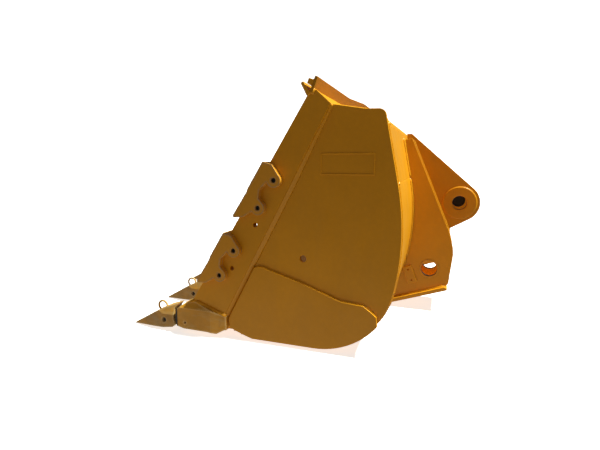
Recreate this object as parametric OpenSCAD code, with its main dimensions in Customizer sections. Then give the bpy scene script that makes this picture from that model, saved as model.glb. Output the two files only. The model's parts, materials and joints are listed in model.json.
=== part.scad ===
// Pin-on rock bucket for a wheel loader, resting flat on its wear plates.
// +X is the bucket's left side, -Y is the digging direction, +Z is up.
// The origin is on the ground, under the middle of the whole bucket.

/* [Shell] */
// Half of the width over the side plates
half_width = 1470; // [1400:5:1500]
// Thickness of the side plates
side_t = 25; // [16:1:40]
// Thickness of the floor, heel and back plates
shell_t = 22; // [16:1:28]
// Radius of the side plate at the heel
heel_r = 436; // [434:1:438]
// Radius of the long curve up the back
rear_r = 1382; // [1380:1:1384]

/* [Cutting edge] */
// Thickness of the base edge plate
edge_t = 40; // [30:1:40]
// How far each tooth stands ahead of its outer neighbour
tooth_step = 112; // [60:2:112]
// Width of an adapter
adapter_w = 104; // [90:2:110]
// Width of a tooth tip at its rear
tip_w = 98; // [80:2:104]
// Width of a tooth tip at its point
point_w = 26; // [16:2:60]
// Outer diameter of the lifting eye on each tip
eye_d = 76; // [60:2:90]
// Thickness of the lifting eye's bar
eye_bar = 13; // [8:1:16]

/* [Side bars and shrouds] */
// Thickness of the side bars
bar_t = 50; // [40:1:50]
// How far the front of the bucket leans back from vertical, in degrees
bar_rake = 32; // [31.5:0.1:32.5]
// Thickness of a shroud cheek over the side bar
cheek_t = 35; // [20:1:40]
// Distance between the upper and the lower shroud along the bar
shroud_pitch = 472; // [470:1:480]
// Diameter of the shroud bolts
bolt_d = 16; // [12:1:18]

/* [Hinges] */
// Distance from the middle to the outer face of a lift arm hinge
hinge_x = 595; // [560:5:760]
// Width over the two plates of a lift arm hinge
hinge_w = 250; // [240:5:300]
// Thickness of the hinge and tilt plates
hinge_t = 35; // [30:1:40]
// Width over the two tilt link plates
tilt_w = 250; // [240:5:280]
// Bore for the lift arm pins
hinge_bore = 110; // [90:1:114]
// Bore for the tilt link pin
tilt_bore = 107; // [90:1:110]

/* [Spill guard] */
// Height of the guard plate along its slope, at the sides
guard_h = 82; // [76:1:110]
// Extra height of the guard in the middle
guard_rise = 28; // [0:1:40]
// How far the guard leans back from vertical, in degrees
guard_lean = 21; // [15:1:25]

/* [Hidden] */

PAINT = [0.80, 0.50, 0.07];
WORN = [0.52, 0.38, 0.20];
STEEL = [0.45, 0.45, 0.46];
BLACK = [0.05, 0.05, 0.05];

LEFT = 1;
RIGHT = -1;
round_fn = 96;
long_fn = 480;
bar_fn = 24;
far = 3000;

// Centres and junction angles of the two arcs of the rear outline, in the Y, Z plane
heel_c = [316, 462];
low_angle = 12.4;
high_angle = 11.4;
rear_c = heel_c - (rear_r - heel_r) * [cos(low_angle), -sin(low_angle)];
shell_inset = 4;
ground_clear = heel_c[1] - heel_r + shell_inset;
floor_top = ground_clear + shell_t;
side_in = half_width - side_t;
shell_up = [-sin(high_angle), cos(high_angle)];
shell_in = [-cos(high_angle), -sin(high_angle)];
upper_back_h = 300;
core_lap = 40;

// Straight upper part of the rear outline and the top corner
upper_z = 1279;
top_corner_r = 35;
top_corner = rear_line(upper_z) + top_corner_r * shell_in;
top_turn = 88;
top_drop = 6;
bend_r = 75;
bend_c = rear_line(upper_z - bend_r / 2) + bend_r * shell_in + [0, -8];
top_mid = [575, 1309];
bar_top_rear = [405, 1338];
bar_top_mid = [330, 1406];
bar_top_front = [298, 1406];

// Base edge
edge_top = floor_top + edge_t;
edge_rear = -140;
edge_lap = 60;
edge_corner = -440;
tooth_pitch = half_width / 3;
tooth_count = 7;
middle_tooth = 4;

// Side view of a corner tooth
leg_top = [[-556, 152], [-490, 199], [-427, 208], [-222, 137]];
leg_tail = -222;
adapter_face = [[-553, 46], [-564, 88], [-556, 150]];
adapter_sole = [[-233, floor_top], [-282, 26], [-340, 33], [-503, 34]];
adapter_shoulder = 166;
adapter_flat = 54;
adapter_tail_w = 60;
hook_hole = [-494, 73];
hook_hole_d = 16;
nose = [[-540, 138], [-696, 84], [-696, 34], [-540, 40]];
nose_w = 56;
nose_end_w = 40;
nose_root = -500;
adapter_waist = -315;
tip_gap = 16;
tip_point = [-902, 9];
tip_top = [[-719, 113], [-630, 155], [-545, 185]];
tip_sole = [[-590, 30], [-660, 19], [-735, 13]];
tip_shoulder = -660;
tip_side_h = 110;
tip_ridge_h = 190;
tip_ridge_w = 56;
tip_blunt = 5;
pin_at = [-650, 71];
pin_d = 24;
pin_inset = 10;
pin_recess_d = 32;
pin_recess_h = 12;
eye_at = [-686, 143];

// Side bars, shrouds and their bolts
bar_length = 1500;
bar_spare = 100;
bar_foot_y = -236;
lip_notch = 150;
shroud_ref = [-19, 900];
shroud_nose = 30;
shroud_bevel = 8;
shroud_reach = 240;
bolt_v = 78;
bolt_u = [108, -71];
lobe_r = 39;
bolt_hole_d = 18;
recess_d = 28;
recess_h = 24;
head_d = 24;
head_h = 16;
socket_af = 14;
socket_h = 8;
nut_af = 24;
nut_h = 14;
thread_end = 6;
bar_holes = [[104, -172], [113, -475]];
bar_hole_d = 28;
side_hole = [252, 522];
side_hole_d = 38;

// Wear plates and the blank raised frame
side_wear_t = 16;
side_wear_lap = 10;
wear_strip_w = 340;
wear_strip_count = 4;
wear_strip_y = [-60, 300];
frame_low = [348, 980];
frame_size = [284, 112];
frame_rim = 7;
frame_t = 3;

// Top lip and guard
guard_foot = [297, 1397];
guard_t = 16;
weld_gap = 0.05;
guard_flat = 250;
guard_slope = 740;
guard_bar_s = 34;
guard_bar_w = 28;
lip_x = half_width + 35;

// Hinges
hinge_pin = [901, 298];
tilt_pin = [1098, 728];
tilt_head = [716, 1266];
tilt_foot = [1039, 522];
bushing_wall = 12;
bushing_proud = 3;
tilt_boss_d = 245;
tilt_boss_t = 12;
tilt_boss_gap = 4;
tilt_nose_r = 150;
skid_proud = 30;
hinge_sole = [[1011, 182], [560, 28]];
keeper_t = 12;
keeper_size = [60, 122];
keeper_at = [772, 245];
keeper_tilt = 21.3;
keeper_pitch = 79;
keeper_hole_d = 14;
plug_gap = 0.3;
plug_depth = 30;
plug_rim = 9;
plug_recess = 14;
plug_knob_d = 26;

// ---- Helpers ----

// A point on the straight upper part of the rear outline
function rear_line(z) = rear_seam() + (z - rear_seam()[1]) * [-tan(high_angle), 1];
function rear_seam() = rear_c + rear_r * [cos(high_angle), sin(high_angle)];
function shell_seam() = rear_c + (rear_r - shell_inset) * [cos(high_angle), sin(high_angle)];
function arc(c, r, a, b, n) = [for (i = [0 : n]) c + r * heading(a + (b - a) * i / n)];
function heading(a) = [cos(a), sin(a)];
function tooth_x(i) = tooth_pitch * (middle_tooth - i);
function tooth_y(i) = -tooth_step * (3 - abs(middle_tooth - i));
function edge_front(x) = edge_corner - tooth_step * (3 - abs(x) / tooth_pitch);

// The direction from a circle's centre to where a line from p touches it, on the chosen side
function tangent_angle(p, c, r, side) = atan2(p[1] - c[1], p[0] - c[0]) + side * acos(r / norm(p - c));

// A point on the rear face of the guard, a distance up its slope
function guard_rear(s) = guard_foot + (guard_t + weld_gap) * [cos(guard_lean), -sin(guard_lean)]
    + s * [sin(guard_lean), cos(guard_lean)];

// Extrudes a Y, Z outline from one X to another
module across(x0, x1) {
    translate([x0, 0, 0]) rotate([90, 0, 90]) linear_extrude(x1 - x0) children();
}

// Draws the left side as modelled, and the right side mirrored
module on_side(side) {
    if (side == LEFT) children();
    else mirror([1, 0, 0]) children();
}

module disc_at(p, d) {
    translate(p) circle(d = d, $fn = round_fn);
}

module wedge(c, a, b, reach) {
    polygon(concat([c], arc(c, reach, a, b, 4)));
}

// The part of a ring of shell plate between two angles
module bent_strip(c, r, a, b) {
    intersection() {
        difference() {
            translate(c) circle(r = r, $fn = long_fn);
            translate(c) circle(r = r - shell_t, $fn = long_fn);
        }
        wedge(c, a, b, 2 * r);
    }
}

// Everything inside the outer face of the shell, used to fit the hinges to it
module shell_core() {
    translate(heel_c) circle(r = heel_r - shell_inset, $fn = long_fn);
    intersection() {
        translate(rear_c) circle(r = rear_r - shell_inset, $fn = long_fn);
        wedge(rear_c, -low_angle, high_angle, 2 * rear_r);
    }
    polygon([shell_seam(), rear_c - [0, core_lap], [rear_c[0], upper_z],
        shell_seam() + (upper_back_h + core_lap) * shell_up]);
}

// ---- Shell ----

module floor_plate() {
    color(PAINT) across(-side_in, side_in)
        polygon([[edge_rear - edge_lap, ground_clear], [heel_c[0], ground_clear],
                 [heel_c[0], floor_top], [edge_rear - edge_lap, floor_top]]);
}

module heel_plate() {
    color(PAINT) across(-side_in, side_in) bent_strip(heel_c, heel_r - shell_inset, -90, -low_angle);
}

module back_plate() {
    color(PAINT) across(-side_in, side_in) bent_strip(rear_c, rear_r - shell_inset, -low_angle, high_angle);
}

module upper_back_plate() {
    foot = shell_seam();
    head = foot + upper_back_h * shell_up;
    color(PAINT) across(-side_in, side_in)
        polygon([foot, head, head + shell_t * shell_in, foot + shell_t * shell_in]);
}

// Bent plate over the top, from the rear corner to the front lip
module top_plate() {
    foot = shell_seam() + upper_back_h * shell_up;
    inner_foot = foot + shell_t * shell_in;
    outer = concat([foot], arc(bend_c, bend_r - shell_inset, high_angle, 80, 8),
        [top_mid - [0, top_drop], bar_top_rear - [2, top_drop], guard_rear(20)]);
    inner = [guard_rear(0), [392, 1312], [572, 1281], inner_foot + [-20, 16]];
    color(PAINT) across(-side_in, side_in) polygon(concat(outer, inner, [inner_foot]));
}

// ---- Cutting edge ----

// Half of the V-shaped base edge, from the middle to the outer face of the side plate
module base_edge_solid(side) {
    on_side(side) translate([0, 0, floor_top]) linear_extrude(edge_t)
        polygon([[0, edge_rear], [half_width, edge_rear], [half_width, edge_front(half_width)],
            [0, edge_front(0)]]);
}

module base_edge(side) {
    color(PAINT) base_edge_solid(side);
}

module adapter_profile() {
    polygon(concat(adapter_sole, adapter_face,
        [leg_top[1], leg_top[2], leg_top[3], [leg_tail, floor_top]]));
}

// Cast adapter that straddles the base edge and carries a tip on its nose
module adapter(i) {
    half_w = adapter_w / 2;
    color(PAINT) difference() {
        translate([tooth_x(i), tooth_y(i), 0]) difference() {
            intersection() {
                union() {
                    across(-half_w, half_w) adapter_profile();
                    intersection() {
                        across(-nose_w / 2, nose_w / 2) polygon(nose);
                        nose_plan();
                    }
                }
                adapter_plan();
                adapter_section();
            }
            across(-half_w - 1, half_w + 1) disc_at(hook_hole, hook_hole_d);
            across(-half_w, half_w) disc_at(pin_at, pin_d);
        }
        base_edge_solid(LEFT);
        base_edge_solid(RIGHT);
    }
}

// Seen from above, the nose narrows forwards
module nose_plan() {
    linear_extrude(far) polygon([[-nose_w / 2, nose_root], [-nose_end_w / 2, nose[1][0]],
        [nose_end_w / 2, nose[1][0]], [nose_w / 2, nose_root]]);
}

// Seen from above, the adapter narrows towards its tail
module adapter_plan() {
    half_w = adapter_w / 2;
    tail = adapter_tail_w / 2;
    linear_extrude(far) polygon([[-half_w, -far], [half_w, -far], [half_w, adapter_waist], [tail, leg_tail],
        [-tail, leg_tail], [-half_w, adapter_waist]]);
}

// Seen from the front, the adapter's upper corners are bevelled
module adapter_section() {
    half_w = adapter_w / 2;
    flat = adapter_flat / 2;
    top = leg_top[2][1] + 12;
    rotate([90, 0, 0]) linear_extrude(far) polygon([[-half_w, 0], [half_w, 0],
        [half_w, adapter_shoulder], [flat, top], [-flat, top], [-half_w, adapter_shoulder]]);
}

// Pointed tip with a socket for the nose
module tip(i) {
    half_w = tip_w / 2;
    rear_face = [for (p = adapter_face) p - [tip_gap, 0]];
    color(WORN) translate([tooth_x(i), tooth_y(i), 0]) difference() {
        intersection() {
            across(-half_w, half_w) polygon(concat([tip_point], tip_top, [rear_face[2], rear_face[1],
                rear_face[0]], tip_sole, [tip_point - [0, tip_blunt]]));
            linear_extrude(far) polygon([[-half_w, nose_root], [-half_w, tip_shoulder],
                [-point_w / 2, tip_point[0]], [point_w / 2, tip_point[0]], [half_w, tip_shoulder],
                [half_w, nose_root]]);
            translate([0, nose_root, 0]) rotate([90, 0, 0]) linear_extrude(far) polygon([[-half_w, 0],
                [half_w, 0], [half_w, tip_side_h], [tip_ridge_w / 2, tip_ridge_h],
                [-tip_ridge_w / 2, tip_ridge_h], [-half_w, tip_side_h]]);
        }
        intersection() {
            across(-nose_w / 2, nose_w / 2) polygon(nose);
            nose_plan();
        }
        across(-half_w - 1, half_w + 1) disc_at(pin_at, pin_d);
        for (s = [LEFT, RIGHT]) on_side(s)
            across(half_w - pin_recess_h, half_w + 1) disc_at(pin_at, pin_recess_d);
    }
}

// Retaining pins, one through each tip and nose
module tip_pins() {
    half_w = tip_w / 2;
    color(STEEL) for (i = [1 : tooth_count]) translate([tooth_x(i), tooth_y(i), 0])
        across(pin_inset - half_w, half_w - pin_inset) disc_at(pin_at, pin_d);
}

// Round-bar eyes that stand on the tips
module lifting_eyes() {
    ring_r = (eye_d - eye_bar) / 2;
    color(WORN) for (i = [1 : tooth_count]) difference() {
        translate([tooth_x(i), tooth_y(i), 0]) translate([0, eye_at[0], eye_at[1]]) rotate([0, 90, 0])
            rotate_extrude($fn = round_fn) translate([ring_r, 0]) circle(d = eye_bar, $fn = bar_fn);
        translate([tooth_x(i), tooth_y(i), 0]) across(-tip_w / 2, tip_w / 2)
            polygon([tip_point, tip_top[0], tip_top[1], tip_top[2], [tip_top[2][0], 0]]);
    }
}

// ---- Sides ----

module side_outline() {
    polygon(concat([[leg_tail, edge_top], leg_top[3], bar_foot(), bar_top_rear, top_mid],
        arc(top_corner, top_corner_r, top_turn, high_angle, 6),
        arc(rear_c, rear_r, high_angle, -low_angle, 12), arc(heel_c, heel_r, -low_angle, -90, 18),
        [[edge_rear, heel_c[1] - heel_r], [edge_rear, edge_top]]));
}

// Where the rear of the side bar meets the adapter's upper leg
function bar_foot() = [bar_foot_y, leg_top[2][1] + (leg_top[3][1] - leg_top[2][1])
    * (bar_foot_y - leg_top[2][0]) / (leg_top[3][0] - leg_top[2][0])];

module side_plate(side) {
    color(PAINT) on_side(side) across(side_in, half_width) difference() {
        side_outline();
        disc_at(side_hole, side_hole_d);
    }
}

// 2D frame of the side bar: X runs back across it, Y runs up its front line
module bar_frame() {
    translate(shroud_ref) rotate(-bar_rake) children();
}

module side_bar(side) {
    front_low = bar_top_front - bar_length * [sin(bar_rake), cos(bar_rake)];
    color(PAINT) on_side(side) across(side_in, side_in + bar_t) difference() {
        polygon([bar_top_front, bar_top_mid, bar_top_rear, bar_foot(), bar_foot() - [0, bar_spare],
            front_low]);
        polygon([[tip_shoulder, 0], [tip_shoulder, leg_top[1][1]], leg_top[1], leg_top[2], leg_top[3],
            [leg_tail, 0]]);
        bar_frame() for (p = bar_holes) disc_at(p, bar_hole_d);
        bar_frame() for (shift = [0, shroud_pitch], u = bolt_u) disc_at([bolt_v, u - shift], bolt_hole_d);
    }
}

module shroud_outline() {
    polygon([[-shroud_nose, -192], [-16, -197], [30, -163], [58, -106], [bolt_v, bolt_u[1]], [98, -36],
        [54, -22], [35, 18], [50, 82], [bolt_v, bolt_u[0]], [90, 144], [25, 174], [-shroud_nose, 157],
        [-shroud_nose, -10], [-shroud_nose + 7, -34]]);
    for (u = bolt_u) disc_at([bolt_v, u], 2 * lobe_r);
}

// Cast shroud that slips over the front of the side bar, level 0 above level 1
module shroud(side, level) {
    inner = side_in - cheek_t;
    outer = side_in + bar_t + cheek_t;
    color(PAINT) on_side(side) intersection() {
        across(inner, outer)
            translate(-level * shroud_pitch * [sin(bar_rake), cos(bar_rake)]) bar_frame() shroud_outline();
        shroud_section(inner, outer, level);
    }
}

// Keeps the slot for the bar, the bolt holes and the bevelled nose, all drawn along the bar
module shroud_section(inner, outer, level) {
    translate([0, shroud_ref[0], shroud_ref[1]]) rotate([-bar_rake, 0, 0])
        translate([0, 0, -level * shroud_pitch]) difference() {
            translate([0, 0, -shroud_reach]) linear_extrude(2 * shroud_reach) difference() {
                polygon([[inner + shroud_bevel, -shroud_nose], [outer - shroud_bevel, -shroud_nose],
                    [outer, shroud_bevel - shroud_nose], [outer, shroud_reach], [inner, shroud_reach],
                    [inner, shroud_bevel - shroud_nose]]);
                translate([side_in, 0]) square([bar_t, shroud_reach + 1]);
            }
            for (u = bolt_u) translate([0, bolt_v, u]) rotate([0, 90, 0]) {
                translate([0, 0, inner - 1])
                    cylinder(d = bolt_hole_d, h = outer - inner + 2, $fn = round_fn);
                translate([0, 0, outer - recess_h])
                    cylinder(d = recess_d, h = recess_h + 1, $fn = round_fn);
            }
        }
}

// Places children on the X axis of every shroud bolt
module at_shroud_bolts() {
    for (side = [LEFT, RIGHT]) on_side(side)
        translate([0, shroud_ref[0], shroud_ref[1]]) rotate([-bar_rake, 0, 0])
            for (level = [0, 1], u = bolt_u) translate([0, bolt_v, u - level * shroud_pitch])
                rotate([0, 90, 0]) children();
}

module hex(af, h) {
    cylinder(d = af / cos(30), h = h, $fn = 6);
}

module shroud_bolts() {
    seat = side_in + bar_t + cheek_t - recess_h;
    end = side_in - cheek_t - nut_h - thread_end;
    color(STEEL) at_shroud_bolts() {
        difference() {
            translate([0, 0, seat]) cylinder(d = head_d, h = head_h, $fn = round_fn);
            translate([0, 0, seat + head_h - socket_h]) hex(socket_af, socket_h + 1);
        }
        translate([0, 0, end]) cylinder(d = bolt_d, h = seat - end, $fn = round_fn);
    }
}

module shroud_nuts() {
    face = side_in - cheek_t;
    color(STEEL) at_shroud_bolts() difference() {
        translate([0, 0, face - nut_h]) hex(nut_af, nut_h);
        translate([0, 0, face - nut_h - 1]) cylinder(d = bolt_d, h = nut_h + 2, $fn = round_fn);
    }
}

// Wear plate over the lower rear corner of the side plate
module side_wear_plate(side) {
    edge = heel_c[1] - heel_r - side_wear_lap;
    color(PAINT) on_side(side) across(half_width, half_width + side_wear_t)
        polygon(concat([[-211, 122], [-205, 68], [-163, 50], [-101, 28], [-60, edge]],
            arc(heel_c, heel_r + side_wear_lap, -90, -38, 12), [[662, 240], [634, 264]],
            [[591, 294], [467, 305], [240, 388], [92, 431], [13, 455], [-18, 456], [-40, 445]]));
}

// Skid strips welded under the floor, on which the bucket stands
module bottom_wear_plates() {
    pitch = 2 * side_in / wear_strip_count;
    color(PAINT) for (i = [0 : wear_strip_count - 1])
        translate([(i + 0.5) * pitch - side_in - wear_strip_w / 2, wear_strip_y[0], 0])
            cube([wear_strip_w, wear_strip_y[1] - wear_strip_y[0], ground_clear]);
}

// Blank raised frames on the sides
module nameplate_frames() {
    color(PAINT) for (side = [LEFT, RIGHT]) on_side(side)
        across(half_width, half_width + frame_t) difference() {
            translate(frame_low) square(frame_size);
            translate(frame_low + [frame_rim, frame_rim]) square(frame_size - 2 * [frame_rim, frame_rim]);
        }
}

// ---- Top lip ----

module lip_bar() {
    color(PAINT) difference() {
        across(-lip_x, lip_x) polygon([[281, 1379], guard_foot, [263, 1450], [249, 1442]]);
        side_bar_tops();
    }
}

// The upper ends of both side bars, which the lip is notched around
module side_bar_tops() {
    for (side = [LEFT, RIGHT]) on_side(side) across(side_in, side_in + bar_t)
        polygon([bar_top_front, bar_top_mid, bar_top_rear,
            bar_top_front - lip_notch * [sin(bar_rake), cos(bar_rake)]]);
}

// 3D frame of the guard: X across, Y up its slope, Z to its front
module guard_frame() {
    translate([0, guard_foot[0], guard_foot[1]]) rotate([90 - guard_lean, 0, 0]) children();
}

module spill_guard() {
    color(PAINT) difference() {
        guard_frame() translate([0, 0, -guard_t]) linear_extrude(guard_t)
            polygon([[-lip_x, 0], [lip_x, 0], [lip_x, guard_h], [guard_slope, guard_h],
                [guard_flat, guard_h + guard_rise], [-guard_flat, guard_h + guard_rise],
                [-guard_slope, guard_h], [-lip_x, guard_h]]);
        side_bar_tops();
    }
}

module guard_bar() {
    color(PAINT) guard_frame() translate([-lip_x, guard_bar_s, 0])
        cube([2 * lip_x, guard_bar_w, guard_bar_w]);
}

// ---- Hinges ----

// A lift arm hinge plate, its front edge fitted to the shell
module hinge_plate(side, outer_x) {
    color(PAINT) on_side(side) across(outer_x - hinge_t, outer_x) difference() {
        polygon(concat([[600, 1184], [728, 1203], [752, 1203], [1019, 576], [1038, 514], [1052, 460],
            [1056, 409], [1041, 265], [1036, 207], [1028, 190]], hinge_sole,
            [[500, 28], [430, 60], [430, 600]]));
        shell_core();
        disc_at(hinge_pin, hinge_bore + 2 * bushing_wall);
    }
}

module hinge_bushing(side, outer_x) {
    color(STEEL) on_side(side)
        across(outer_x - hinge_t - bushing_proud, outer_x + bushing_proud) difference() {
            disc_at(hinge_pin, hinge_bore + 2 * bushing_wall);
            disc_at(hinge_pin, hinge_bore);
        }
}

// Plate that closes the underside of a hinge and carries on the line of the floor
module hinge_skid(side) {
    color(PAINT) on_side(side) across(hinge_x - hinge_w - skid_proud, hinge_x + skid_proud)
        polygon(concat(hinge_sole, [[540, 21.2], [555, 1.5], [568, 3], [1023, 158], [1029, 170]]));
}

module keeper_pad(side) {
    color(PAINT) on_side(side) across(hinge_x, hinge_x + keeper_t) difference() {
        translate(keeper_at) rotate(keeper_tilt) translate(-keeper_size / 2) square(keeper_size);
        for (s = [-0.5, 0.5]) disc_at(keeper_at + s * keeper_pitch * [-sin(keeper_tilt), cos(keeper_tilt)],
            keeper_hole_d);
    }
}

// A tilt link plate with a round nose
module tilt_plate(side) {
    top = tangent_angle(tilt_head, tilt_pin, tilt_nose_r, -1);
    bottom = tangent_angle(tilt_foot, tilt_pin, tilt_nose_r, 1);
    color(PAINT) on_side(side) across(tilt_w / 2 - hinge_t, tilt_w / 2) difference() {
        polygon(concat([[560, 1266], tilt_head], arc(tilt_pin, tilt_nose_r, top, bottom, 36),
            [tilt_foot, [690, 309], [560, 400]]));
        shell_core();
        disc_at(tilt_pin, tilt_bore + 2 * bushing_wall);
    }
}

module tilt_boss(side) {
    color(PAINT) on_side(side) across(tilt_w / 2, tilt_w / 2 + tilt_boss_t) difference() {
        disc_at(tilt_pin, tilt_boss_d);
        disc_at(tilt_pin, tilt_bore + 2 * tilt_boss_gap);
    }
}

module tilt_bushing(side) {
    color(STEEL) on_side(side) across(tilt_w / 2 - hinge_t, tilt_w / 2) difference() {
        disc_at(tilt_pin, tilt_bore + 2 * bushing_wall);
        disc_at(tilt_pin, tilt_bore);
    }
}

// Push-in transport plug in the right tilt bore
module bore_plug() {
    face = tilt_w / 2 + tilt_boss_t;
    plug_d = tilt_bore - 2 * plug_gap;
    color(BLACK) on_side(RIGHT) {
        across(face - plug_depth, face) difference() {
            disc_at(tilt_pin, plug_d);
            disc_at(tilt_pin, plug_d - 2 * plug_rim);
        }
        across(face - plug_depth, face - plug_recess) disc_at(tilt_pin, plug_d - 2 * plug_rim);
        across(face - plug_recess, face) disc_at(tilt_pin, plug_knob_d);
    }
}

floor_plate();
heel_plate();
back_plate();
upper_back_plate();
top_plate();
base_edge(LEFT);  // base_edge_left
base_edge(RIGHT);  // base_edge_right
side_plate(LEFT);  // side_plate_left
side_plate(RIGHT);  // side_plate_right
side_bar(LEFT);  // side_bar_left
side_bar(RIGHT);  // side_bar_right
side_wear_plate(LEFT);  // side_wear_plate_left
side_wear_plate(RIGHT);  // side_wear_plate_right
shroud(LEFT, 0);  // upper_shroud_left
shroud(RIGHT, 0);  // upper_shroud_right
shroud(LEFT, 1);  // lower_shroud_left
shroud(RIGHT, 1);  // lower_shroud_right
shroud_bolts();
shroud_nuts();
bottom_wear_plates();
nameplate_frames();
lip_bar();
spill_guard();
guard_bar();
hinge_plate(LEFT, hinge_x);  // hinge_plate_left_outer
hinge_plate(LEFT, hinge_x - hinge_w + hinge_t);  // hinge_plate_left_inner
hinge_plate(RIGHT, hinge_x - hinge_w + hinge_t);  // hinge_plate_right_inner
hinge_plate(RIGHT, hinge_x);  // hinge_plate_right_outer
hinge_bushing(LEFT, hinge_x);  // hinge_bushing_left_outer
hinge_bushing(LEFT, hinge_x - hinge_w + hinge_t);  // hinge_bushing_left_inner
hinge_bushing(RIGHT, hinge_x - hinge_w + hinge_t);  // hinge_bushing_right_inner
hinge_bushing(RIGHT, hinge_x);  // hinge_bushing_right_outer
hinge_skid(LEFT);  // hinge_skid_left
hinge_skid(RIGHT);  // hinge_skid_right
keeper_pad(LEFT);  // keeper_pad_left
keeper_pad(RIGHT);  // keeper_pad_right
tilt_plate(LEFT);  // tilt_plate_left
tilt_plate(RIGHT);  // tilt_plate_right
tilt_boss(LEFT);  // tilt_boss_left
tilt_boss(RIGHT);  // tilt_boss_right
tilt_bushing(LEFT);  // tilt_bushing_left
tilt_bushing(RIGHT);  // tilt_bushing_right
bore_plug();
for (i = [1 : tooth_count]) adapter(i);
for (i = [1 : tooth_count]) tip(i);
tip_pins();
lifting_eyes();
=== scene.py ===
"""Looks of the wheel loader rock bucket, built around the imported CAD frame."""

import json
import math

import bmesh
import bpy
from mathutils import Matrix, Vector
from mathutils.bvhtree import BVHTree


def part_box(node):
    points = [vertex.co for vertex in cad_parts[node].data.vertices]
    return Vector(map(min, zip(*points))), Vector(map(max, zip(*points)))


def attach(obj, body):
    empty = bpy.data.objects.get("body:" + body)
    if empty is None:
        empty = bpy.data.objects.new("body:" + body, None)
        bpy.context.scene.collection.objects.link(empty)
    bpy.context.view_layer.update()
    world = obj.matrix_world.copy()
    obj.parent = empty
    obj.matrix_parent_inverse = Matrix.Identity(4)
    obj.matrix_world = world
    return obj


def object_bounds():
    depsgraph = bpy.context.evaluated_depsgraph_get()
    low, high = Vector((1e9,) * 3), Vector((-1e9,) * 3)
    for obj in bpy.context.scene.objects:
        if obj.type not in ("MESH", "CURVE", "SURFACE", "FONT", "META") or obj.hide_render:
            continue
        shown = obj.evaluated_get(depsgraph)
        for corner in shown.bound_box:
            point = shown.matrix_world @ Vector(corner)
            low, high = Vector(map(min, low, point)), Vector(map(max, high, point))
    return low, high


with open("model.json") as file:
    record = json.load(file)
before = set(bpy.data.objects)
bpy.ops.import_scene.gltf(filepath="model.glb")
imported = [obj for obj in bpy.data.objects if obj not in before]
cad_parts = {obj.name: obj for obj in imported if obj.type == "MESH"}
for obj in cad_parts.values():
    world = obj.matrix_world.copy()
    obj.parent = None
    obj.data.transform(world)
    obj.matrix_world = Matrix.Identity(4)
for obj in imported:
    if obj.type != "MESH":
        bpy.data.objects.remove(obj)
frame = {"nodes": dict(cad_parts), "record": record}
NODES = frame["nodes"]
CAD_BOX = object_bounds()

# ---- Driving values, in metres, radians, watts and linear colour ----

CAMERA_DISTANCE = 2.05      # from the left side plate
CAMERA_HEIGHT = 1.052
CAMERA_BACK = 0.9365        # how far behind the bucket's middle the camera stands
CAMERA_LENS = 24.24
CAMERA_AIM = Vector((-0.93446, -0.31984, -0.15646))
CAMERA_UP = Vector((-0.14803, -0.05067, 0.98769))
SENSOR_WIDTH = 36.0         # millimetres, as the lens is

SUN_FROM = Vector((-0.03, 0.49, 0.87))
SUN_STRENGTH = 7.2
SUN_ANGLE = math.radians(3)
SUN_COLOUR = (1.0, 0.98, 0.74)
BOUNCE_DEPTH = 0.6          # how far below the ground the bounce light lies
BOUNCE_SIZE = 8.0
BOUNCE_POWER = 92.0
BOUNCE_COLOUR = (1.0, 0.87, 0.68)
SURROUND_COLOUR = (1.0, 0.87, 0.66, 1.0)
SURROUND_STRENGTH = 0.185

STAGE_FLAT = 16.0           # radius of the flat floor
STAGE_CURL = 6.0            # radius of the curl between floor and wall
STAGE_TOP = 20.0
STAGE_STEPS = 72
STAGE_MERGE = 0.0001
FLOOR_GLOW = 0.66
WALL_GLOW = 0.95

PAINT = (0.72, 0.322, 0.006)
ADAPTER_PAINT = (0.70, 0.325, 0.012)
TIP_PAINT = (0.68, 0.34, 0.045)
# near-black painted shade for the adapter noses down in the gap under the tips
NOSE_PAINTED_SHADE = (0.012, 0.010, 0.009)
NOSE_SHARE = 0.31           # how much of an adapter's length sits inside the tip
NOSE_EDGE = 0.325           # where the painted shade ends and its paint begins in full

MERGE_DISTANCE = 0.00002
PLATE_BEVEL = 0.0022
CAST_BEVEL = 0.006
BEVEL_ANGLE = math.radians(28)
FLAT_ANGLE = math.radians(0.2)

SEAM_MERGE = 0.00003
ON_SURFACE = 0.0009         # how near a seam's edge lies to the plate it is welded to
SHARP = math.radians(25)
TOUCHING = -0.6             # a face this opposed to the plate below lies on it
LEVEL = 0.9                 # a face this parallel to the plate below has no corner with it
PROBE_OUT = 0.004           # the plate has to reach this far out beside the seam
PROBE_REACH = 0.0015
KEYS_PER_METRE = 20000      # points that round to the same key are one point

RING_STEP = 0.009           # one weld ripple
RIPPLE_TURN = 2.4           # radians of the fine ripple in one step
SLOW_RIPPLE = 61.0          # radians per metre of the slow one
SLOW_SHARE = 0.6
BEAD_SPANS = 4              # flats across a bead's face
ROOT_SINK = 0.0004          # how far a bead's root lies under both plates
TURNED_BACK = 0.2           # two directions whose sum is shorter than this make no corner
FULLEST_MITRE = 0.6
END_TAPER = 0.35            # a bead's size at its very end
LONG_FADE = 0.1             # a longer fade runs in from the top end only
SHORTEST_BEAD = 0.02


# ---- Materials ----

def new_material(name):
    """A material with a Principled shader on its output: the material, its node tree and the shader."""
    material = bpy.data.materials.new(name)
    material.use_nodes = True
    tree = material.node_tree
    tree.nodes.clear()
    output = tree.nodes.new("ShaderNodeOutputMaterial")
    shader = tree.nodes.new("ShaderNodeBsdfPrincipled")
    tree.links.new(shader.outputs["BSDF"], output.inputs["Surface"])
    return material, tree, shader


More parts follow.
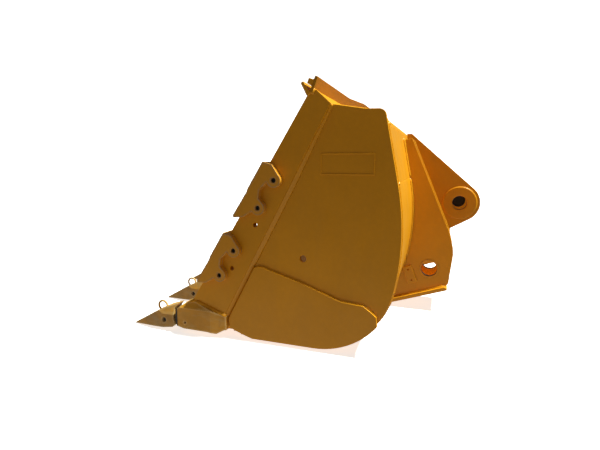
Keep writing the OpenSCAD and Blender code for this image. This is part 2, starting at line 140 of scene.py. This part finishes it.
def noise(tree, scale, detail=4.0, roughness=0.55, stretch=(1, 1, 1)):
    """Object-space noise, stretched along the axes when asked."""
    place = tree.nodes.new("ShaderNodeTexCoord")
    mapping = tree.nodes.new("ShaderNodeMapping")
    mapping.inputs["Scale"].default_value = stretch
    texture = tree.nodes.new("ShaderNodeTexNoise")
    texture.inputs["Scale"].default_value = scale
    texture.inputs["Detail"].default_value = detail
    texture.inputs["Roughness"].default_value = roughness
    tree.links.new(place.outputs["Object"], mapping.inputs["Vector"])
    tree.links.new(mapping.outputs["Vector"], texture.inputs["Vector"])
    return texture.outputs["Fac"]


def ramp(tree, value, stops):
    """A colour ramp over a value; stops are (position, colour)."""
    node = tree.nodes.new("ShaderNodeValToRGB")
    elements = node.color_ramp.elements
    while len(elements) < len(stops):
        elements.new(0.5)
    for element, (position, colour) in zip(elements, stops):
        element.position = position
        element.color = (*colour, 1.0)
    tree.links.new(value, node.inputs["Fac"])
    return node.outputs["Color"]


def grey(level):
    return (level, level, level)


def scaled(colour, factor):
    return tuple(min(1.0, factor * c) for c in colour)


def mix(tree, factor, first, second, blend="MIX"):
    """Mixes two colours, each an output or a plain colour."""
    node = tree.nodes.new("ShaderNodeMix")
    node.data_type = "RGBA"
    node.blend_type = blend
    sockets = {"factor": node.inputs[0], "a": node.inputs[6], "b": node.inputs[7]}
    for key, value in (("factor", factor), ("a", first), ("b", second)):
        if isinstance(value, bpy.types.NodeSocket):
            tree.links.new(value, sockets[key])
        elif key == "factor":
            sockets[key].default_value = value
        else:
            sockets[key].default_value = (*value, 1.0)
    return node.outputs[2]


def edges(tree, radius, level):
    """Up to a grey level within a radius of an edge, where a rounded normal leaves the true one."""
    rounded = tree.nodes.new("ShaderNodeBevel")
    rounded.samples = 6
    rounded.inputs["Radius"].default_value = radius
    geometry = tree.nodes.new("ShaderNodeNewGeometry")
    agree = tree.nodes.new("ShaderNodeVectorMath")
    agree.operation = "DOT_PRODUCT"
    tree.links.new(rounded.outputs["Normal"], agree.inputs[0])
    tree.links.new(geometry.outputs["Normal"], agree.inputs[1])
    return ramp(tree, agree.outputs["Value"], [(0.950, grey(level)), (0.996, grey(0))])


def part_of_normal(tree, axis):
    """How far the surface faces along one axis, from -1 to 1."""
    geometry = tree.nodes.new("ShaderNodeNewGeometry")
    split = tree.nodes.new("ShaderNodeSeparateXYZ")
    tree.links.new(geometry.outputs["Normal"], split.inputs["Vector"])
    return split.outputs[axis]


def sideways(tree, low, high):
    """White where the surface faces left or right."""
    size = tree.nodes.new("ShaderNodeMath")
    size.operation = "ABSOLUTE"
    tree.links.new(part_of_normal(tree, "X"), size.inputs[0])
    return ramp(tree, size.outputs["Value"], [(low, grey(0)), (high, grey(1))])


def upward(tree, low, high):
    """White where the surface faces up."""
    return ramp(tree, part_of_normal(tree, "Z"), [(low, grey(0)), (high, grey(1))])


def along(tree, axis, low, high):
    """Black to white along one side of the node's own box."""
    place = tree.nodes.new("ShaderNodeTexCoord")
    split = tree.nodes.new("ShaderNodeSeparateXYZ")
    tree.links.new(place.outputs["Generated"], split.inputs["Vector"])
    return ramp(tree, split.outputs[axis], [(low, grey(0)), (high, grey(1))])


def bump(tree, shader, height, strength, distance):
    node = tree.nodes.new("ShaderNodeBump")
    node.inputs["Strength"].default_value = strength
    node.inputs["Distance"].default_value = distance
    tree.links.new(height, node.inputs["Height"])
    tree.links.new(node.outputs["Normal"], shader.inputs["Normal"])


def painted(tree, base):
    """The sprayed coat's colour: cloudy, with thin runs of dust and a painted highlight along the edges."""
    clouds = ramp(tree, noise(tree, 1.7, 5.0), [(0.32, scaled(base, 0.84)), (0.68, scaled(base, 1.06))])
    speckle = ramp(tree, noise(tree, 38.0, 5.0, 0.7), [(0.46, scaled(base, 0.90)), (0.62, base)])
    coat = mix(tree, 0.35, clouds, speckle)
    runs = noise(tree, 6.0, 6.0, 0.6, (1.0, 1.0, 0.16))
    dust = ramp(tree, runs, [(0.48, grey(0)), (0.80, grey(0.14))])
    dusty = mix(tree, dust, coat, (0.45, 0.25, 0.06))
    # the edges are lightened to a paler copy of the paint: a painted highlight where light catches them
    return mix(tree, edges(tree, 0.006, 0.45), dusty, scaled(base, 1.35))


def paint_material(name, base, orange_peel, peel_scale=230.0):
    """Sprayed machine paint over steel, with orange peel, faint cloudiness, thin dust and a painted
    highlight along its edges.
    """
    material, tree, shader = new_material(name)
    tree.links.new(painted(tree, base), shader.inputs["Base Color"])
    rough = ramp(tree, noise(tree, 9.0, 5.0), [(0.3, grey(0.34)), (0.75, grey(0.50))])
    tree.links.new(rough, shader.inputs["Roughness"])
    shader.inputs["IOR"].default_value = 1.5
    shader.inputs["Specular IOR Level"].default_value = 0.32
    shader.inputs["Coat Weight"].default_value = 0.10
    shader.inputs["Coat Roughness"].default_value = 0.25
    bump(tree, shader, noise(tree, peel_scale, 3.0), orange_peel, 0.0006)
    return material


def shroud_material(name, base, worn):
    """Paint over a casting that is rubbed to bare metal along its edges."""
    material, tree, shader = new_material(name)
    broken = ramp(tree, noise(tree, 30.0, 6.0, 0.7), [(0.36, grey(0.25)), (0.60, grey(1))])
    rubbed = mix(tree, 1.0, edges(tree, 0.018, 0.8), broken, "MULTIPLY")
    tree.links.new(mix(tree, rubbed, painted(tree, base), worn), shader.inputs["Base Color"])
    rough = ramp(tree, noise(tree, 20.0, 4.0), [(0.3, grey(0.40)), (0.7, grey(0.60))])
    tree.links.new(rough, shader.inputs["Roughness"])
    bump(tree, shader, noise(tree, 80.0, 6.0, 0.7), 0.4, 0.0016)
    return material


def bushing_material(name, base):
    """Bare bored steel whose end faces took the paint."""
    material, tree, shader = new_material(name)
    film = ramp(tree, noise(tree, 30.0, 5.0), [(0.35, grey(0.14)), (0.7, grey(0.34))])
    ends = sideways(tree, 0.55, 0.75)
    tree.links.new(mix(tree, ends, film, painted(tree, base)), shader.inputs["Base Color"])
    bare = ramp(tree, ends, [(0.0, grey(0.7)), (1.0, grey(0.0))])
    tree.links.new(bare, shader.inputs["Metallic"])
    rough = ramp(tree, noise(tree, 60.0, 3.0), [(0.3, grey(0.30)), (0.7, grey(0.46))])
    tree.links.new(rough, shader.inputs["Roughness"])
    bump(tree, shader, noise(tree, 300.0, 2.0, 0.5, (8.0, 1.0, 1.0)), 0.15, 0.0004)
    return material


def cast_material(name, base, worn, ridge):
    """A rough casting whose paint is rubbed thin on its ridges and in patches, with a painted highlight on
    its top.
    """
    material, tree, shader = new_material(name)
    clouds = ramp(tree, noise(tree, 7.0, 6.0, 0.6), [(0.3, scaled(base, 0.70)), (0.7, base)])
    patches = ramp(tree, noise(tree, 11.0, 8.0, 0.68), [(0.40, grey(0)), (0.62, grey(1))])
    rubbed = mix(tree, patches, clouds, worn)
    # wear streaks that grow paler on upward faces: real scuffs plus a painted highlight on the top
    top = mix(tree, upward(tree, 0.2, 0.8), grey(0.35), grey(0.6))
    streaks = noise(tree, 24.0, 7.0, 0.7, (1.0, 0.22, 1.0))
    grain = ramp(tree, streaks, [(0.46, grey(0)), (0.62, grey(1))])
    scuffs_and_top_highlight = mix(tree, mix(tree, 1.0, top, grain, "MULTIPLY"), rubbed, ridge)
    colour = mix(tree, edges(tree, 0.016, 0.9), scuffs_and_top_highlight, ridge)
    tree.links.new(colour, shader.inputs["Base Color"])
    rough = ramp(tree, noise(tree, 20.0, 4.0), [(0.3, grey(0.40)), (0.7, grey(0.62))])
    tree.links.new(rough, shader.inputs["Roughness"])
    bump(tree, shader, noise(tree, 95.0, 7.0, 0.72), 0.5, 0.0022)
    return material


def adapter_material(name, base, worn):
    """A cast adapter's rubbed paint, with a painted highlight on its top and near-black painted shade on the
    nose inside the tip.
    """
    material, tree, shader = new_material(name)
    clouds = ramp(tree, noise(tree, 7.0, 6.0, 0.6), [(0.3, scaled(base, 0.74)), (0.7, base)])
    blots = noise(tree, 9.0, 8.0, 0.68, (1.0, 0.5, 1.0))
    patches = ramp(tree, blots, [(0.55, grey(0)), (0.80, grey(0.7))])
    rubbed = mix(tree, patches, clouds, worn)
    # wear streaks that grow paler on upward faces: real scuffs plus a painted highlight on the top
    top = mix(tree, upward(tree, 0.1, 0.8), grey(0.34), grey(0.8))
    streaks = noise(tree, 22.0, 7.0, 0.7, (1.0, 0.22, 1.0))
    grain = ramp(tree, streaks, [(0.50, grey(0)), (0.64, grey(1))])
    scuffs_and_top_highlight = mix(tree, mix(tree, 1.0, top, grain, "MULTIPLY"), rubbed, (0.62, 0.44, 0.18))
    ridged = mix(tree, edges(tree, 0.018, 0.9), scuffs_and_top_highlight, (0.78, 0.53, 0.22))
    # the nose inside the tip takes the near-black painted shade
    colour = mix(tree, along(tree, "Y", NOSE_SHARE, NOSE_EDGE), NOSE_PAINTED_SHADE, ridged)
    tree.links.new(colour, shader.inputs["Base Color"])
    rough = ramp(tree, noise(tree, 20.0, 4.0), [(0.3, grey(0.38)), (0.7, grey(0.58))])
    tree.links.new(rough, shader.inputs["Roughness"])
    shader.inputs["Coat Weight"].default_value = 0.12
    bump(tree, shader, noise(tree, 80.0, 7.0, 0.7), 0.5, 0.0024)
    return material


def steel_material(name, base, roughness, metallic):
    """Machined steel with fine turning marks and a dull film."""
    material, tree, shader = new_material(name)
    film = ramp(tree, noise(tree, 30.0, 5.0), [(0.35, scaled(base, 0.6)), (0.7, base)])
    tree.links.new(film, shader.inputs["Base Color"])
    shader.inputs["Metallic"].default_value = metallic
    rough = ramp(tree, noise(tree, 60.0, 3.0), [(0.3, grey(roughness - 0.08)), (0.7, grey(roughness + 0.1))])
    tree.links.new(rough, shader.inputs["Roughness"])
    bump(tree, shader, noise(tree, 400.0, 2.0, 0.5, (8.0, 1.0, 1.0)), 0.15, 0.0004)
    return material


def plastic_material(name, base):
    """Moulded black plastic with a fine grain."""
    material, tree, shader = new_material(name)
    colour = ramp(tree, noise(tree, 40.0), [(0.3, scaled(base, 0.7)), (0.7, scaled(base, 1.4))])
    tree.links.new(colour, shader.inputs["Base Color"])
    rough = ramp(tree, noise(tree, 90.0), [(0.3, grey(0.45)), (0.7, grey(0.6))])
    tree.links.new(rough, shader.inputs["Roughness"])
    bump(tree, shader, noise(tree, 900.0, 2.0), 0.3, 0.0003)
    return material


def stage_material():
    """Plain white studio paint that glows a little, and more up the wall, where less sun falls on it."""
    material, tree, shader = new_material("studio_white")
    colour = ramp(tree, noise(tree, 0.8), [(0.3, (0.76, 0.80, 0.98)), (0.7, (0.78, 0.82, 1.0))])
    tree.links.new(colour, shader.inputs["Base Color"])
    shader.inputs["Roughness"].default_value = 0.8
    height = along(tree, "Z", 0.0, 0.25)
    tree.links.new(mix(tree, height, grey(FLOOR_GLOW), grey(WALL_GLOW)), shader.inputs["Emission Color"])
    shader.inputs["Emission Strength"].default_value = 1.0
    return material


MATERIALS = {
    "paint": paint_material("machine_paint", PAINT, 0.22),
    "weld": paint_material("painted_weld", scaled(PAINT, 0.97), 0.7, 120.0),
    # the spill guard's copy of the paint is darkened as painted shade
    "guard": paint_material("guard_painted_shade", scaled(PAINT, 0.66), 0.22),
    "shroud": shroud_material("shroud_paint", PAINT, (0.36, 0.27, 0.19)),
    "cast_paint": adapter_material("adapter_paint", ADAPTER_PAINT, (0.46, 0.27, 0.05)),
    "worn_tip": cast_material("worn_tip", TIP_PAINT, (0.38, 0.22, 0.065), (0.58, 0.43, 0.22)),
    "steel": bushing_material("bored_steel", PAINT),
    "dark_steel": steel_material("dark_steel", grey(0.035), 0.5, 0.4),
    "black_plastic": plastic_material("black_plastic", (0.010, 0.010, 0.012)),
}
SLOT_OF = {s["node"]: s["material_slot"] for s in frame["record"]["subparts"]}
# the spill guard takes the darkened painted-shade copy of the paint
LOOK_OF = {"shroud_bolts": "dark_steel", "shroud_nuts": "dark_steel", "tip_pins": "dark_steel",
           "spill_guard": "guard"}


def dress_node(name, node):
    """Gives a CAD node its material and soft edges, leaving its mesh alone."""
    slot = SLOT_OF[name]
    look = LOOK_OF.get(name, "shroud" if "_shroud_" in name else slot)
    node.data.materials.clear()
    node.data.materials.append(MATERIALS[look])
    merge = node.modifiers.new("weld", "WELD")
    merge.merge_threshold = MERGE_DISTANCE
    flat = node.modifiers.new("flat", "DECIMATE")
    flat.decimate_type = "DISSOLVE"
    flat.angle_limit = FLAT_ANGLE
    bevel = node.modifiers.new("bevel", "BEVEL")
    bevel.width = CAST_BEVEL if look in ("cast_paint", "worn_tip", "shroud") else PLATE_BEVEL
    bevel.segments = 3
    bevel.limit_method = "ANGLE"
    bevel.angle_limit = BEVEL_ANGLE
    bevel.harden_normals = True


for node_name, node_object in NODES.items():
    dress_node(node_name, node_object)


# ---- Weld beads ----

SHAPES = {}


def shape_of(name):
    """A node's welded mesh and the tree that finds its nearest surface."""
    if name not in SHAPES:
        shape = bmesh.new()
        shape.from_mesh(NODES[name].data)
        bmesh.ops.remove_doubles(shape, verts=shape.verts, dist=SEAM_MERGE)
        shape.normal_update()
        SHAPES[name] = (shape, BVHTree.FromBMesh(shape))
    return SHAPES[name]


def seam_edges(name, onto):
    """Edges of one node that lie on another's surface with an open corner beside them.

    Each is (start, end, up its own face, out over the other's surface).
    """
    shape = shape_of(name)[0]
    surface = shape_of(onto)[1]
    low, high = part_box(onto)
    found = []
    for edge in shape.edges:
        if len(edge.link_faces) != 2 or edge.calc_face_angle(0) < SHARP:
            continue
        start, end = (v.co.copy() for v in edge.verts)
        middle = (start + end) / 2
        if any(middle[i] < low[i] - ON_SURFACE or middle[i] > high[i] + ON_SURFACE for i in range(3)):
            continue
        if any(surface.find_nearest(p, ON_SURFACE)[0] is None for p in (start, middle, end)):
            continue
        under = surface.find_nearest(middle, ON_SURFACE)[1]
        touching, free = sorted(edge.link_faces, key=lambda face: face.normal.dot(under))
        if touching.normal.dot(under) > TOUCHING or abs(free.normal.dot(under)) > LEVEL:
            continue
        line = (end - start).normalized()
        up = line.cross(free.normal)
        up = up if up.dot(under) > 0 else -up
        out = line.cross(under)
        out = out if out.dot(free.normal) > 0 else -out
        if surface.find_nearest(middle + PROBE_OUT * out, PROBE_REACH)[0] is None:
            continue
        found.append((start, end, up.normalized(), out.normalized()))
    return found


def key_of(point):
    """The same for points that lie on one another."""
    return tuple(round(c * KEYS_PER_METRE) for c in point)


def chains_of(seams):
    """Joins seam edges end to end into chains of directed edges."""
    left = {i: seam for i, seam in enumerate(seams)}
    at = {}
    for i, seam in left.items():
        for end in (0, 1):
            at.setdefault(key_of(seam[end]), []).append(i)
    chains = []
    while left:
        first = next(iter(left))
        chain = [left.pop(first)]
        for forward in (True, False):
            while True:
                tip = chain[-1][1] if forward else chain[0][0]
                following = [i for i in at[key_of(tip)] if i in left]
                if not following:
                    break
                start, end, up, out = left.pop(following[0])
                if key_of(start if forward else end) != key_of(tip):
                    start, end = end, start
                chain.insert(len(chain) if forward else 0, (start, end, up, out))
        chains.append(chain)
    return chains


def mitre(first, second):
    """The mean of two unit directions, lengthened so the corner stays full."""
    mean = first + second
    if mean.length < TURNED_BACK:
        return first.copy()
    mean.normalize()
    return mean / max(FULLEST_MITRE, mean.dot(first))


def rings_of(chain):
    """(point, up, out) frames along a chain, mitred at its corners, and whether it closes."""
    closed = key_of(chain[0][0]) == key_of(chain[-1][1]) and len(chain) > 2
    rings = []
    for i, (start, end, up, out) in enumerate(chain):
        before = chain[i - 1] if i or closed else chain[0]
        rings.append((start, mitre(before[2], up), mitre(before[3], out)))
        steps = int((end - start).length / RING_STEP)
        for k in range(1, steps):
            rings.append((start.lerp(end, k / steps), up, out))
    if not closed:
        rings.append((chain[-1][1], chain[-1][2], chain[-1][3]))
    return rings, closed


def add_bead(shape, chain, up_leg, out_leg, ripple_size, crown, fade):
    """Sweeps a rippled fillet along a chain; its legs lie up one plate and out over the other.

    It grows to its full size over the fade length, from both ends, or from the top end only if that is long.
    """
    rings, closed = rings_of(chain)
    ends = [rings[0][0], rings[-1][0]]
    if fade > LONG_FADE:
        ends = [max(ends, key=lambda end: end.z)]
    travelled = 0.0
    loops = []
    for i, (point, up, out) in enumerate(rings):
        if i:
            travelled += (point - rings[i - 1][0]).length
        fine = math.sin(travelled / RING_STEP * RIPPLE_TURN)
        slow = math.sin(travelled * SLOW_RIPPLE)
        size = 1.0 + ripple_size * (fine + SLOW_SHARE * slow)
        if not closed:
            grown = min(1.0, min((point - end).length for end in ends) / fade)
            size *= END_TAPER + (1.0 - END_TAPER) * grown
        loop = [shape.verts.new(point - ROOT_SINK * (up + out))]
        for k in range(BEAD_SPANS + 1):
            share = k / BEAD_SPANS
            bulge = crown * math.sin(math.pi * share)
            loop.append(shape.verts.new(point + size * up * up_leg * (share + bulge)
                                        + size * out * out_leg * (1 - share + bulge)))
        loops.append(loop)
    pairs = list(zip(loops, loops[1:])) + ([(loops[-1], loops[0])] if closed else [])
    for first, second in pairs:
        for k, corner in enumerate(first):
            j = (k + 1) % len(first)
            shape.faces.new((corner, first[j], second[j], second[k]))
    if not closed:
        shape.faces.new(loops[0])
        shape.faces.new(loops[-1])


def make_bead_piece(name, shape):
    """Turns a bmesh into a smooth-shaded painted piece that rides with the bucket."""
    bmesh.ops.recalc_face_normals(shape, faces=shape.faces)
    mesh = bpy.data.meshes.new(name)
    shape.to_mesh(mesh)
    shape.free()
    for face in mesh.polygons:
        face.use_smooth = True
    mesh.materials.append(MATERIALS["weld"])
    piece = bpy.data.objects.new(name, mesh)
    bpy.context.scene.collection.objects.link(piece)
    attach(piece, "bucket")


def weld(name, pairs, up_leg, out_leg, ripple=0.06, crown=0.12, fade=0.015):
    """One piece holding every bead between the named pairs of nodes."""
    shape = bmesh.new()
    for first, second in pairs:
        for chain in chains_of(seam_edges(first, second)):
            if sum((end - start).length for start, end, _, _ in chain) > SHORTEST_BEAD:
                add_bead(shape, chain, up_leg, out_leg, ripple, crown, fade)
    make_bead_piece(name, shape)


SIDES = ("left", "right")
SHELL = ("heel_plate", "back_plate", "upper_back_plate")
HINGE_SIDES = [(f"hinge_plate_{side}_{place}", side) for side in SIDES for place in ("outer", "inner")]

weld("weld_hinges", [(hinge, plate) for hinge, _ in HINGE_SIDES for plate in SHELL], 0.013, 0.013)
weld("weld_tilt_ears", [(f"tilt_plate_{side}", plate) for side in SIDES for plate in SHELL], 0.012, 0.012)
weld("weld_tilt_bosses", [(f"tilt_boss_{side}", f"tilt_plate_{side}") for side in SIDES], 0.007, 0.007)
weld("weld_hinge_skids", [(hinge, f"hinge_skid_{side}") for hinge, side in HINGE_SIDES], 0.010, 0.010)
weld("weld_keeper_pads", [(f"keeper_pad_{side}", f"hinge_plate_{side}_outer") for side in SIDES],
     0.005, 0.005)
weld("weld_side_bars", [(f"side_plate_{side}", f"side_bar_{side}") for side in SIDES],
     0.028, 0.023, ripple=0.015, crown=-0.04, fade=0.45)
weld("weld_side_wear", [(f"side_wear_plate_{side}", f"side_plate_{side}") for side in SIDES],
     0.006, 0.006)
weld("weld_shell_ends", [(plate, f"side_plate_{side}") for side in SIDES
                         for plate in SHELL + ("top_plate", "floor_plate")], 0.010, 0.010)
weld("weld_adapters", [(f"adapter_{i}", f"base_edge_{side}") for i in range(1, 8) for side in SIDES],
     0.010, 0.010)
weld("weld_bar_feet", [("side_bar_left", "adapter_1"), ("side_bar_right", "adapter_7")], 0.016, 0.014)
weld("weld_skid_strips", [("bottom_wear_plates", "floor_plate")], 0.008, 0.008)
weld("weld_lip", [("lip_bar", "spill_guard"), ("guard_bar", "spill_guard"), ("spill_guard", "top_plate")]
     + [(part, f"side_bar_{side}") for part in ("lip_bar", "spill_guard") for side in SIDES],
     0.008, 0.008)


# ---- Stage, light and camera ----

def build_stage():
    """A round floor that curls up into a far wall, as one smooth sheet."""
    profile = [(0.0, 0.0), (STAGE_FLAT, 0.0)]
    profile += [(STAGE_FLAT + STAGE_CURL * math.sin(a), STAGE_CURL - STAGE_CURL * math.cos(a))
                for a in (math.radians(degrees) for degrees in range(10, 91, 10))]
    profile.append((STAGE_FLAT + STAGE_CURL, STAGE_TOP))
    shape = bmesh.new()
    verts = [shape.verts.new((r, 0.0, z + CAD_BOX[0][2])) for r, z in profile]
    lines = [shape.edges.new(pair) for pair in zip(verts, verts[1:])]
    bmesh.ops.spin(shape, geom=verts + lines, cent=(0, 0, 0), axis=(0, 0, 1),
                   angle=math.tau, steps=STAGE_STEPS, use_merge=True)
    bmesh.ops.remove_doubles(shape, verts=shape.verts, dist=STAGE_MERGE)
    mesh = bpy.data.meshes.new("studio_floor")
    shape.to_mesh(mesh)
    shape.free()
    for face in mesh.polygons:
        face.use_smooth = True
    mesh.materials.append(stage_material())
    stage = bpy.data.objects.new("studio_floor", mesh)
    bpy.context.scene.collection.objects.link(stage)
    stage.visible_diffuse = False
    stage.visible_glossy = False
    stage.visible_shadow = False


def add_light(name, kind, strength, colour):
    """A light of one kind, linked to the scene: its object, which still has to be turned or placed."""
    light = bpy.data.lights.new(name, kind)
    light.energy = strength
    light.color = colour
    lamp = bpy.data.objects.new(name, light)
    bpy.context.scene.collection.objects.link(lamp)
    return lamp


def build_lights():
    """A soft sun from above and behind, a weak bounce from the ground, and a dim surround."""
    sun = add_light("key", "SUN", SUN_STRENGTH, SUN_COLOUR)
    sun.data.angle = SUN_ANGLE
    sun.rotation_euler = SUN_FROM.to_track_quat("Z", "Y").to_euler()
    bounce = add_light("ground_bounce", "AREA", BOUNCE_POWER, BOUNCE_COLOUR)
    bounce.data.shape = "DISK"
    bounce.data.size = BOUNCE_SIZE
    bounce.location.z = -BOUNCE_DEPTH
    bounce.rotation_euler = Vector((0, 0, 1)).to_track_quat("-Z", "Y").to_euler()
    world = bpy.data.worlds.new("surround")
    world.use_nodes = True
    background = world.node_tree.nodes["Background"]
    background.inputs["Color"].default_value = SURROUND_COLOUR
    background.inputs["Strength"].default_value = SURROUND_STRENGTH
    bpy.context.scene.world = world


def build_camera():
    """The scene's camera, placed from the outer face of the left side plate."""
    camera = bpy.data.objects.new("camera", bpy.data.cameras.new("camera"))
    bpy.context.scene.collection.objects.link(camera)
    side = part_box("side_plate_left")[1].x
    camera.data.lens = CAMERA_LENS
    camera.data.sensor_width = SENSOR_WIDTH
    right = CAMERA_AIM.cross(CAMERA_UP).normalized()
    turn = Matrix((right, CAMERA_UP, -CAMERA_AIM)).transposed()
    place = Vector((side + CAMERA_DISTANCE, CAMERA_BACK, CAMERA_HEIGHT))
    camera.matrix_world = Matrix.Translation(place) @ turn.to_4x4()
    bpy.context.scene.camera = camera


build_stage()
build_lights()
build_camera()
bpy.context.scene.view_settings.view_transform = "Standard"
